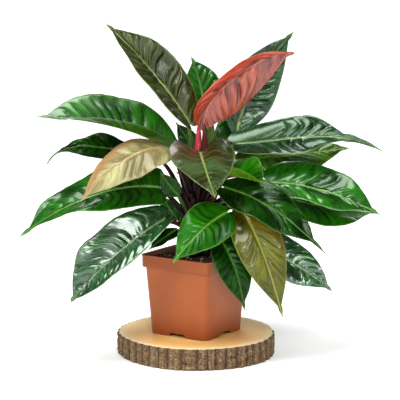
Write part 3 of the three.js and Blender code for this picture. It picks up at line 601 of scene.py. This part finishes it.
# Petiole skin: smooth and waxy, maroon black at the crown, wine red along the stalk and green
# where it meets the blade, with crimson blotches 8 mm across. Where the green mark is 1, as on
# the youngest stalks and sheaths, it is leaf green from the crown up.
stalk, tree, shader, place = finish("waxy_petiole_skin", 0.4, 1.45, {
    "Specular IOR Level": 0.12, "Coat Weight": 0.05, "Coat Roughness": 0.2})
along = add(tree, "Attribute", attribute_name="along").outputs["Fac"]
green = add(tree, "Attribute", attribute_name="green").outputs["Fac"]
blotch = add(tree, "TexNoise", {"Vector": place, "Scale": 120, "Detail": 4})
wine = add(tree, "ValToRGB", {"Fac": along}, ramp=[
    (0.0, "#090102"), (0.3, "#1c0305"), (0.6, "#541a1a"), (0.85, "#6e4430"), (1.0, "#7d8a45")])
leafy = add(tree, "ValToRGB", {"Fac": along}, ramp=[
    (0.0, "#1c0a0a"), (0.3, "#2c2c12"), (0.6, "#34541f"), (1.0, "#8aa451")])
mix = add(tree, "MixRGB", {"Fac": green, "Color1": wine, "Color2": leafy})
spot = add(tree, "MapRange", {"Value": blotch, "From Min": 0.56, "From Max": 0.75, "To Max": 0.4})
skin = add(tree, "MixRGB", {"Fac": spot, "Color1": mix, "Color2": "#6c1620"})
bump = add(tree, "Bump", {"Strength": 0.3, "Distance": 0.0008, "Height": blotch})
wire(shader, {"Base Color": skin, "Normal": bump})

# The stem: a tube whose radius follows the ringed scars of fallen leaves, as |sin|^4 of height.
rise = np.linspace(-STEM_SUNK, STEM_HEIGHT, 90)
trunk = np.stack([0 * rise, 0 * rise, SOIL_Z + rise], -1)
girth = np.interp(rise, [-STEM_SUNK, 0, 30, STEM_HEIGHT],
                  [STEM_FOOT * 0.8, STEM_FOOT, STEM_FOOT, STEM_TIP])
girth = girth - SCAR_DEPTH * np.clip(np.sin(rise / 2.4), 0, 1) ** 4
rings = [(tube(trunk, girth, 40, 31), 0 * rise, 0.0)]
# Withered scales of earlier leaves stand round the stem, among the petioles' feet: each is a
# flattened tube that leans out by 0.6 u + 0.5 u^3 as it rises.
draw = np.random.default_rng(33)
for number in range(SCALES):
    turn, height = SCALE_TURN * number, SCALE_FIRST + SCALE_STEP * number
    length, lean = draw.uniform(34, 76), draw.uniform(0.12, 0.6)
    u = np.linspace(0, 1, 14)[:, None]
    out = np.array([math.cos(turn), math.sin(turn), 0])
    foot = out * (STEM_TIP + 2) + np.array([0, 0, SOIL_Z + height])
    path = foot + length * (out * lean * (0.6 * u + 0.5 * u**3) + np.array([0, 0, 1]) * u)
    width = draw.uniform(6, 9.5) * np.sin(math.pi * (0.15 + 0.8 * u[:, 0])) ** 0.7
    rings.append((tube(path, width, 12, 120 + number, thin=0.3), 0.26 * u[:, 0] ** 2, 0.0))
# Two sheaths of the last leaves still stand green behind the newest leaf's petiole: flattened
# tubes on a straight line from the stem's tip, bowed out by a sine.
for number, (tip, width) in enumerate(SHEATHS):
    u = np.linspace(0, 1, 24)[:, None]
    bow = np.array([0.1 * tip[0], 4, 0]) * np.sin(math.pi * u)
    path = np.array([0.6 * tip[0], 6, 246]) * (1 - u) + np.array(tip) * u + bow
    girth = width * np.sin(math.pi * (0.14 + 0.84 * u[:, 0])) ** 0.7
    rings.append((tube(path, girth, 16, 180 + number, thin=0.3), 0.25 + 0.35 * u[:, 0], 1.0))
for number, leaf in enumerate(LEAVES):
    path, radius = petiole_path(leaf)
    share = np.linspace(0, 1, len(path))
    young = float(leaf["skin"] in ("bronze", "bright_deep"))
    rings.append((tube(path, radius, 20, 40 + number), share, young))
points, faces, share, leafiness, start = [], [], [], [], 0
for ring, along, green in rings:
    rows, columns = ring.shape[:2]
    points.append(planted(ring).reshape(-1, 3))
    faces.append(grid_faces(rows, columns, wrap=True) + start)
    share.append(np.repeat(np.concatenate([along[:1], along, along[-1:]]), columns))
    leafiness.append(np.full(rows * columns, green))
    start += rows * columns
marks = {"along": np.concatenate(share), "green": np.concatenate(leafiness)}
stems = piece("stem_with_petioles", np.vstack(points), np.vstack(faces), [stalk], None, marks, poles=True)
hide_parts("stem_and_petioles")


# ---- Bud sheath --------------------------------------------
# The crimson sheath that wrapped the newest leaf. It stands on the stem's tip beside that
# leaf's petiole: a slim fleshy spindle with blunt keels, glossy while it is fresh.
SHEATH_PATH = [(-5.5, 0.5, 253.5), (-1, 5, 284), (3, 12, 334), (3.5, 11, 368)]
SHEATH_RADII = [2.2, 2.8, 3.6, 4.6, 5.6, 5, 3, 1]
KEEL = 0.07  # how far its three keels stand out, as a share of the radius

# Fleshy crimson skin: black red where it stands in the crown, and above that crimson, drawn out
# in lengthwise streaks 2 mm wide from wine red to pink.
sheath_skin, tree, shader, place = finish("fleshy_crimson_sheath", 0.3, 1.45, {
    "Coat Weight": 0.3, "Coat Roughness": 0.15})
fibre = add(tree, "Mapping", {"Vector": place, "Scale": (1, 1, 0.08)})
streak = add(tree, "TexNoise", {"Vector": fibre, "Scale": 500, "Detail": 3})
colour = add(tree, "ValToRGB", {"Fac": streak},
             ramp=[(0.3, "#6b0a1a"), (0.5, "#a81a2c"), (0.7, "#d04a5a")])
up = add(tree, "SeparateXYZ", {"Vector": place}).outputs["Z"]
fresh = add(tree, "MapRange", {"Value": up, "From Min": 0.295, "From Max": 0.335})
skin = add(tree, "MixRGB", {"Fac": fresh, "Color1": "#2c070c", "Color2": colour})
wire(shader, {"Base Color": skin})

t = np.linspace(0, 1, 48)
girth = np.interp(t, np.linspace(0, 1, len(SHEATH_RADII)), SHEATH_RADII)
ring = tube(through(SHEATH_PATH, t)[0], girth, 28, 77, flute=KEEL)
sheath = piece("bud_sheath_spindle", planted(ring), None, [sheath_skin], poles=True)
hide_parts("bud_sheath")


# ---- Leaf blades -------------------------------------------
# Leathery glossy blades, each on its own petiole: a pale midrib, side veins that sweep forward
# to the edge, the blade quilted between them, a thin pale margin and a drawn-out drip tip.
MIN_HALF, BLADE_THICKNESS, MARGIN = 0.8, 0.6, 0.9
RIB_THICKNESS, RIB_WIDTH, RIB_TIP_WIDTH = 2.2, 1.85, 0.81
# Relief: puffed panels and creases over them, a broad swell, a frilled and finely waved edge,
# and the channel along the midrib.
PUFF, CREASE, SWELL, FRILL, EDGE_WAVE, CHANNEL_DEPTH = 2.0, 1.8, 1.6, 1.1, 0.35, 0.55
HALVES_SHIFT = 0.4  # of a panel, because the side veins of the two halves alternate
# Upper skin: its deep and light colours, rib, side vein and blush; lower skin: its deep and
# light colours; then the gloss and the slot. The side vein colour is painted shade in the
# grooves on the green and red skins, and the veins' own colour on the others.
SKINS = {
    "dark_green": ("#020e00", "#144404", "#5a8438", "#021000", "#133e05",
        "#22450c", "#3f6a1a", 0.28, "leaf_dark_green"),
    "sheened_green": ("#021605", "#124012", "#7c9e60", "#021003", "#144a12",
        "#264f12", "#447022", 0.75, "leaf_dark_green"),
    "silver_green": ("#021605", "#14501a", "#7c9e60", "#021003", "#144a12",
        "#264f12", "#447022", 1.5, "leaf_dark_green"),
    "deep_green": ("#032602", "#246c08", "#6a9444", "#031602", "#144a12",
        "#2a5208", "#4a7a10", 0.9, "leaf_green"),
    "green": ("#032a01", "#227208", "#86b060", "#031c01", "#1c6016",
        "#2f6210", "#4c801a", 0.72, "leaf_green"),
    "shaded_green": ("#1a3004", "#4a7818", "#7ca03c", "#12240a", "#4c6a14",
        "#2c4a0e", "#4a6e1c", 0.6, "leaf_green"),
    "bright": ("#063000", "#227602", "#70a638", "#062200", "#2a800c",
        "#42700c", "#649410", 0.35, "leaf_bright"),
    "bright_deep": ("#031a00", "#144c03", "#457822", "#031200", "#1c6610",
        "#386a14", "#54861c", 0.25, "leaf_green"),
    "bronze": ("#0a1201", "#303a06", "#a4b46c", "#5e7034", "#3c2c0e",
        "#3c3818", "#5c5628", 0.65, "leaf_bronze"),
    "bronze_green": ("#101e06", "#38522a", "#94a858", "#708048", "#3a240e",
        "#4c4e24", "#6c7030", 0.3, "leaf_bronze"),
    "olive": ("#262801", "#606204", "#a4a850", "#6a7030", "#644204",
        "#54521a", "#7c7830", 0.5, "leaf_olive"),
    "fading": ("#6a643c", "#aca876", "#a8845c", "#80583e", "#94744c",
        "#7c6a38", "#988850", 0.45, "leaf_yellow"),
    "red": ("#50120a", "#bc5030", "#b46454", "#380804", "#b0341a",
        "#7e2416", "#9c4230", 1.15, "leaf_red"),
}


def width_share(leaf, t):
    """Half width as a share of the greatest: rounded at the base, widest at the stated place,
    falling as (1 - u^2.3)^1.1 to a narrow drip tip."""
    widest, drip = leaf["widest"], leaf["drip"]
    base = 1 - (1 - leaf["base"]) * np.clip(1 - t / widest, 0, 1) ** 2.5
    u = np.clip((t - widest) / (1 - drip - widest), 0, 1)
    body = np.maximum((1 - u**2.3) ** 1.1, leaf["dripWidth"] * np.clip((1 - t) / drip, 0, 1))
    return np.where(t < widest, base, body)


def blade_surface(leaf, rows, columns):
    """The blade's middle surface on a grid of rows along the side veins and columns across.
    A row at r meets the midrib at t = r and sweeps forward by sin(pi r) times the distance
    across; columns lie closer near the midrib. Each half rises from the midrib by its fold,
    less its curl, with sine waves at the edge, and the base reaches back past the petiole in
    two lobes. Returns points, up, r, t, s and the half width."""
    r = np.linspace(0, 1, rows)[:, None] ** 1.12
    c = np.linspace(-1, 1, columns)[None, :]
    s = np.sign(c) * np.abs(c) ** 1.35
    across = np.abs(s)
    t = np.clip(r + leaf["sweep"] * across**1.15 * np.sin(math.pi * r), 0, 1)
    place, forward, up, side = rib_frame(leaf, t)
    half = np.maximum(MIN_HALF, leaf["half"] * width_share(leaf, t))
    fold = leaf["fold"] + (leaf.get("tipFold", leaf["fold"]) - leaf["fold"]) * t
    slope = np.radians(fold - leaf["curl"] * across / 2)
    wave = leaf["wave"] * across**2 * np.sin(math.pi * t) * np.sin(9 * t + 2.2 * s + leaf["rib"][0][0])
    lobe = leaf["lobe"] * np.clip(1 - t / 0.3, 0, 1) ** 2
    lobe = lobe * (0.8 * np.sin(math.pi * across ** leaf["lobePeak"]) + 0.45 * across**2)
    points = (place + side * (half * s * np.cos(slope))[..., None]
              - forward * (leaf["half"] * lobe)[..., None]
              + up * (half * across * np.sin(slope) + wave)[..., None])
    return points, up, r + 0 * s, t, s + 0 * r, half


def blade(leaf, seed):
    """A closed sheet: the upper face quilted between the side veins and grooved along the
    midrib, the lower face with the midrib standing out as a keel. The beat counts the panels
    along the blade, so |sin(pi beat)| is 0 on a side vein: a panel puffs up by its 0.8th power
    and a random share of its own, with creases, a broad swell, a frill that grows as the cube
    of the distance across, and at the edge a fine wave that is high at each vein's end.
    Returns points, faces, slots, marks and uv as piece takes them."""
    rows, columns = leaf["veins"] * 10 + 1, 41 if leaf["half"] > 20 else 25
    points, up, r, t, s, half = blade_surface(leaf, rows, columns)
    across, ends = np.abs(s), np.sin(math.pi * t) ** 0.7
    distance = across * half
    beat = r * leaf["veins"] + 0.7 * ripple(seed + 70, 10, 0.7, 2.2, r, 0.5 * s)
    beat = beat + np.where(s < 0, HALVES_SHIFT, 0.0)
    groove = np.abs(np.sin(math.pi * beat))
    fade = np.clip(across / 0.12, 0, 1) * (1 - across**5) * ends
    puff = np.clip(0.75 + 1.1 * ripple(seed, 12, 0.15, 0.45, np.floor(beat), 1.6 * s), 0.1, 2)
    panel = PUFF * puff * (groove**0.8 - 0.6) * fade
    folds = CREASE * ripple(seed + 20, 24, 0.1, 0.36, beat, 1.5 * s) * fade
    swell = SWELL * ripple(seed + 50, 18, 0.008, 0.022, *np.moveaxis(points, -1, 0)) * across * ends
    frill = FRILL * leaf["wave"] * ripple(seed + 90, 10, 1.8, 4.5, r, 0.3 * s) * across**3 * ends
    fine = EDGE_WAVE * across**4 * ends * np.cos(2 * math.pi * beat)
    rib_width = RIB_WIDTH + (RIB_TIP_WIDTH - RIB_WIDTH) * t
    channel = np.exp(-((distance / rib_width) ** 2))
    keel = RIB_THICKNESS * (1 - 0.6 * t) * np.exp(-((distance / (1.25 * rib_width)) ** 2))
    keel = keel * np.clip(half / 6, 0, 1)
    lift = leaf["quilt"] * (panel + folds) + swell + frill + fine
    thick = BLADE_THICKNESS / 2 * (1 - 0.5 * across**6)
    upper = points + up * (lift + thick - CHANNEL_DEPTH * channel * ends)[..., None]
    lower = points + up * (lift - thick - keel)[..., None]
    # the upper and lower sheets are joined by a strip round their rim
    n = rows * columns
    sheet = grid_faces(rows, columns)
    rim = np.concatenate([np.arange(columns - 1), np.arange(rows - 1) * columns + columns - 1,
                          n - 1 - np.arange(columns - 1), (rows - 1 - np.arange(rows - 1)) * columns])
    after = np.roll(rim, -1)
    faces = np.vstack([sheet, sheet[:, ::-1] + n, np.stack([rim, rim + n, after + n, after], -1)])
    slots = np.repeat([0, 1, 0], [len(sheet), len(sheet), len(rim)])
    # a band on each side vein, at the bottom of its groove: on the green and red skins its colour is
    # painted shade
    vein_and_groove_shade = np.exp(-((groove / 0.2) ** 2)) * np.clip(across / 0.05, 0, 1) * (1 - 0.5 * across)
    margin = np.exp(-((((1 - across) * half) / MARGIN) ** 2))
    marks = {"midrib": channel * (1 - 0.35 * t), "vein_and_groove_shade": vein_and_groove_shade, "margin": margin,
             # crest mark: painted light on the panels' crests and painted shade in the hollows between them
             "blush": blush_of(leaf, t, s), "painted_relief_light": np.clip(0.5 + 0.3 * (panel + folds), 0, 1)}
    marks = {name: np.tile(value.ravel(), 2) for name, value in marks.items()}
    # the two halves are shifted apart, so that each has streaks of its own
    uv = np.tile(np.stack([s / 2 + 0.5, r + np.where(s < 0, 0.37, 0)], -1).reshape(-1, 2), (2, 1))
    both = np.vstack([planted(upper).reshape(-1, 3), planted(lower).reshape(-1, 3)])
    return both, faces, slots, marks, uv


# Where a leaf's second colour begins: the weights of the place along and across the blade, and
# what is added to them.
BLUSHES = {"red": (0.25, -1.6, -0.75), "fading": (1.0, 1.3, -1.2), "bronze_green": (-1.8, 0.3, 0.35),
           "olive": (-1.4, -0.5, 0.2)}


def blush_of(leaf, t, s):
    """Where a leaf's second colour lies: a ramp from 0 to 1 over a slanted line on the blade."""
    if leaf["skin"] not in BLUSHES:
        return 0 * t
    along, side, offset = BLUSHES[leaf["skin"]]
    return np.clip(0.5 + 2.2 * (along * t + side * s + offset), 0, 1)


def leaf_skins(name, deep, light, rib, vein_and_groove_shade, blush, lower_deep, lower_light, gloss):
    """The upper and lower skins. Above: waxed and glossy, with a gloss tinted towards the
    leaf's own hue, darker and lighter in streaks along the side veins, with painted light on
    the panels' crests and painted shade in their hollows, and with pale rib and margin. The
    side veins take the vein colour, which on the green and red skins is a painted shade in the
    groove. Below: duller and paler, its veins in the same colour, painted shade where it is dark."""
    made = []
    hue = np.array(linear(light)[:3])
    clear = np.clip(0.35 + 0.2 * gloss, 0.5, 0.65)
    tint = (*(clear + (1 - clear) * hue / hue.max()), 1.0)
    sides = (("upper", deep, light, 0.27, gloss), ("lower", lower_deep, lower_light, 0.5, 0.3))
    for side, low, high, rough, wax in sides:
        skin, tree, shader, place = finish(f"leaf_{side}_cuticle_{name}", rough, 1.5, {
            "Specular IOR Level": 0.6 * wax, "Specular Tint": tint,
            "Coat Weight": 0.65 * wax, "Coat Roughness": 0.15})
        stretch = add(tree, "Mapping", {"Vector": place.node.outputs["UV"], "Scale": (5, 95, 1)})
        streak = add(tree, "TexNoise", {"Vector": stretch, "Scale": 1, "Detail": 3, "Roughness": 0.6})
        cloud = add(tree, "TexNoise", {"Vector": place, "Scale": 22, "Detail": 3})
        # painted light and shade: the tone is raised on the panels' crests and lowered in their hollows
        painted_relief_light = add(tree, "Attribute", attribute_name="painted_relief_light").outputs["Fac"]
        grain = add(tree, "Math", {0: streak, 1: cloud}, operation="ADD")
        grain_and_painted_light = add(tree, "Math", {0: grain, 1: painted_relief_light}, operation="ADD")
        tone = add(tree, "MapRange", {"Value": grain_and_painted_light, "From Min": 1.2, "From Max": 2.15})
        colour = add(tree, "MixRGB", {"Fac": tone, "Color1": low, "Color2": high})
        # the vein colour is painted shade in the grooves on the green and red skins, and the veins' own
        # colour on the others
        shares = [("blush", 1.0, blush), ("vein_and_groove_shade", 0.5, vein_and_groove_shade), ("margin", 0.4, rib), ("midrib", 0.95, rib)]
        for mark, share, code in shares if side == "upper" else shares[1:]:
            value = add(tree, "Attribute", attribute_name=mark).outputs["Fac"]
            part = add(tree, "Math", {0: value, 1: share}, operation="MULTIPLY")
            colour = add(tree, "MixRGB", {"Fac": part, "Color1": colour, "Color2": code})
        sheen = add(tree, "MapRange", {"Value": streak, "From Min": 0.3, "From Max": 0.7,
                                       "To Min": rough - 0.08, "To Max": rough + 0.12})
        bump = add(tree, "Bump", {"Strength": 0.3, "Distance": 0.0008, "Height": streak})
        wire(shader, {"Base Color": colour, "Roughness": sheen, "Normal": bump})
        made.append(skin)
    return made


skins = {name: leaf_skins(name, *row[:8]) for name, row in SKINS.items()}
for number, leaf in enumerate(LEAVES):
    points, faces, slots, marks, uv = blade(leaf, 100 + number)
    made = piece(leaf["name"] + "_blade", points, faces, skins[leaf["skin"]], slots, marks, uv)
    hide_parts(leaf["name"])


# ---- Stage -------------------------------------------------
# A plain white floor, a broad soft light overhead, smaller ones high and low in front, at the
# left front, at the back and at the right, and the camera where the photograph was taken from.
CAMERA_TURN, CAMERA_RISE, CAMERA_DISTANCE = PLANT_TURN, math.radians(9.6), 3.0
FRAME_WIDTH, AIM_RIGHT, AIM_HEIGHT = 0.632, 0.0059, 0.246  # metres, at the plant
SENSOR = 36  # mm
FLAT, BEND_REACH, BEND_RISE, SWEEP_EDGE, SWEEP_TOP = 6.0, 2.0, 1.2, 8.0, 1.7  # metres
ROOM_LIGHT = 0.06
# right of the plant, towards the camera and up, and across, in metres; power in watts
LAMPS = {
    "overhead": (-0.2, 0.35, 2.1, 1.4, 50),
    "left_front": (-1.8, 1.6, 1.5, 0.8, 22),
    "high_front": (0.2, 2.0, 1.3, 0.7, 20),
    "low_front": (0.4, 2.2, 0.5, 0.4, 4),
    "back": (-0.2, -1.7, 1.6, 0.8, 9),
    "right": (2.1, 0.7, 1.3, 0.7, 4),
}

# Plain white paper, flat under the plant and swept up into a low wall all round: lit by the lamps
# near the plant, and by itself further out, so that it stays an even white.
white_floor, tree, shader, place = finish("plain_white_sweep", 0.9, 1.45, {
    "Base Color": "#f4f4f4", "Emission Color": "#ffffff"})
out = add(tree, "VectorMath", {0: place}, operation="LENGTH").outputs["Value"]
glow = add(tree, "MapRange", {"Value": out, "From Min": 0.3, "From Max": 2.5, "To Min": 0.35})
wire(shader, {"Emission Strength": glow})
bend = np.linspace(0, math.pi / 2, 12)
out = np.concatenate([[0.01, 0.5, 1, 2, 4], FLAT + BEND_REACH * np.sin(bend), [SWEEP_EDGE]])
rise = np.concatenate([np.zeros(5), BEND_RISE - BEND_RISE * np.cos(bend), [SWEEP_TOP]])
turn = np.linspace(0, 2 * math.pi, 72, endpoint=False)[None, :]
sweep = np.stack([out[:, None] * np.cos(turn), out[:, None] * np.sin(turn), rise[:, None] + 0 * turn], -1)
floor = bpy.data.objects.new("floor", bpy.data.meshes.new("floor"))
floor_faces = grid_faces(*sweep.shape[:2], wrap=True)
floor.data.from_pydata(sweep.reshape(-1, 3).tolist(), [], floor_faces.tolist())
floor.data.materials.append(white_floor)
bpy.context.scene.collection.objects.link(floor)

right = Vector((math.cos(CAMERA_TURN), math.sin(CAMERA_TURN), 0))
near = Vector((math.sin(CAMERA_TURN), -math.cos(CAMERA_TURN), 0))
above = Vector((0, 0, 1))


def staged(name, data, place, target):
    """A lamp or camera at place, looking at target."""
    held = bpy.data.objects.new(name, data)
    held.location = place
    held.rotation_euler = (target - place).to_track_quat("-Z", "Y").to_euler()
    bpy.context.scene.collection.objects.link(held)
    return held


for name, (x, y, z, size, power) in LAMPS.items():
    lamp = bpy.data.lights.new(name, "AREA")
    lamp.shape, lamp.size, lamp.energy = "DISK", size, power
    staged(name, lamp, right * x + near * y + above * z, above * 0.25)

world = bpy.data.worlds.new("white_studio")
world.use_nodes = True
wire(world.node_tree.nodes["Background"], {"Color": "#ffffff", "Strength": ROOM_LIGHT})
bpy.context.scene.world = world
bpy.context.scene.view_settings.view_transform = "Standard"

lens = bpy.data.cameras.new("camera")
lens.sensor_width = SENSOR
lens.lens = lens.sensor_width * CAMERA_DISTANCE / FRAME_WIDTH
target = right * AIM_RIGHT + above * AIM_HEIGHT
place = target + (near * math.cos(CAMERA_RISE) + above * math.sin(CAMERA_RISE)) * CAMERA_DISTANCE
bpy.context.scene.camera = staged("camera", lens, place, target)

bpy.context.view_layer.update()
